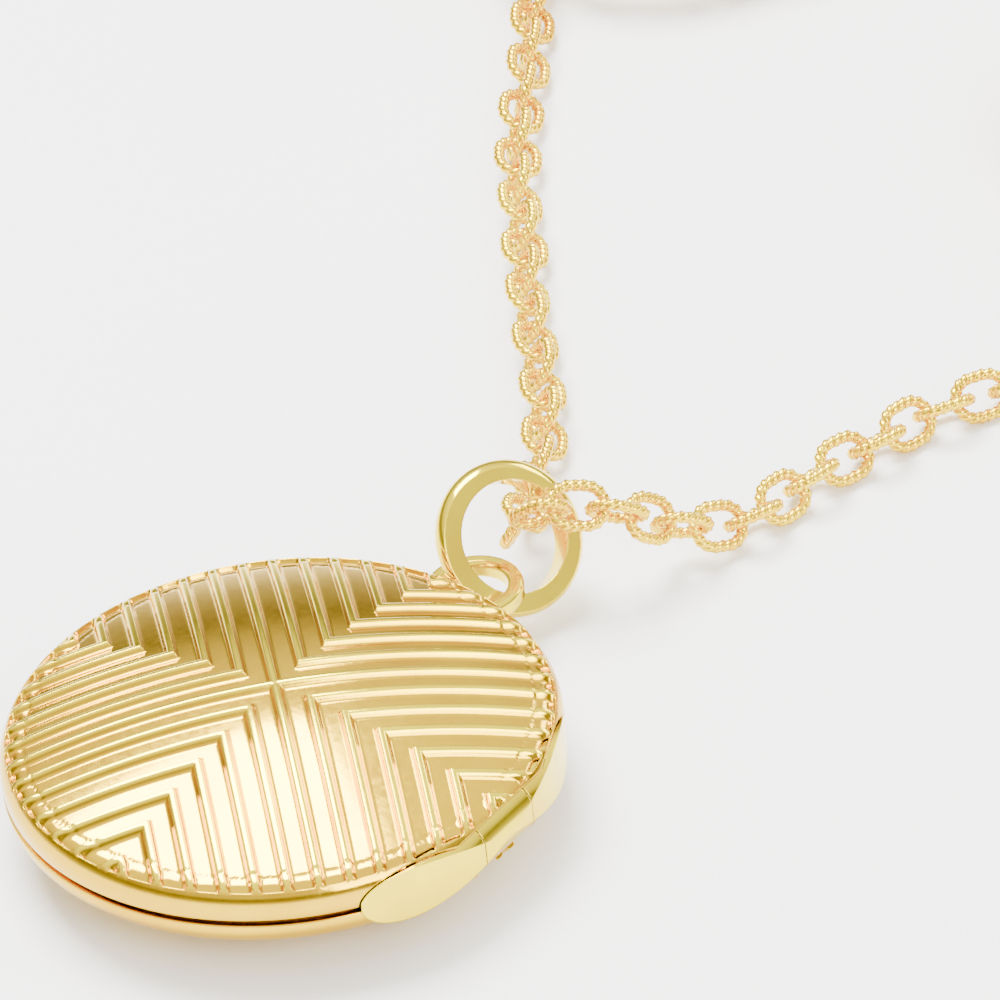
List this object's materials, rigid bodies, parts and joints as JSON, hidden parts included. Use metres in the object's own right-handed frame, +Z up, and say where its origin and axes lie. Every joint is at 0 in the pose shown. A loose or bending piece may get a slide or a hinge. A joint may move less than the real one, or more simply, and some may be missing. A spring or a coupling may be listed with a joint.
{
  "type": "locket",
  "caption": "Round hinged photo locket in yellow gold with a ribbed front, hanging from a bail ring on a twisted-wire chain",
  "frame": {"origin": "on the table under the middle of the locket, at the crown of its back half", "axes": "+X towards the hinge at 3 o'clock, +Y towards the bail at 12 o'clock, +Z up out of the front half"},
  "size_m": [0.0658, 0.0966, 0.0071],
  "materials": {
    "polished_gold": "polished",
    "inner_gold": "satin",
    "chain_gold": "polished",
    "photo_card": "matte",
    "clear_window": "clear",
    "spring_steel": "drawn"
  },
  "bodies": {
    "back_case": {"back_shell": "polished_gold", "back_locating_lip": "inner_gold", "hinge_knuckle_upper": "polished_gold", "hinge_knuckle_lower": "polished_gold", "hinge_pin": "inner_gold", "catch_keeper": "inner_gold", "fixed_eye": "polished_gold", "back_seat_ring": "inner_gold", "back_photo_card": "photo_card", "back_photo_window": "clear_window", "back_photo_frame": "polished_gold", "chain_left": "chain_gold", "chain_left_coil": "chain_gold", "chain_right": "chain_gold", "chain_right_coil": "chain_gold", "clasp_body": "polished_gold", "clasp_spring": "spring_steel", "clasp_jump_ring": "polished_gold", "end_tag": "polished_gold", "end_jump_ring": "polished_gold"},
    "front_cover": {"front_shell": "polished_gold", "hinge_knuckle_front": "polished_gold", "catch_tongue": "inner_gold", "front_seat_ring": "inner_gold", "front_photo_card": "photo_card", "front_photo_window": "clear_window", "front_photo_frame": "polished_gold"},
    "bail": {"bail_ring": "polished_gold"},
    "bolt": {"clasp_bolt": "polished_gold"}
  },
  "joints": [
    {"name": "cover_hinge", "type": "hinge", "parent": "back_case", "child": "front_cover", "pos_m": [0.0112, 0, 0.00341], "axis": [0, 1, 0], "range_deg": [0, 110]},
    {"name": "bail_swing", "type": "hinge", "parent": "back_case", "child": "bail", "pos_m": [0, 0.0142, 0.00268], "axis": [1, 0, 0], "range_deg": [-2, 3]},
    {"name": "clasp_bolt_slide", "type": "hinge", "parent": "back_case", "child": "bolt", "pos_m": [-0.03033, 0.0728, 0.0008], "axis": [0, 0, 1], "range_deg": [0, 50], "stiffness_Nm_per_rad": 0.00001}
  ]
}
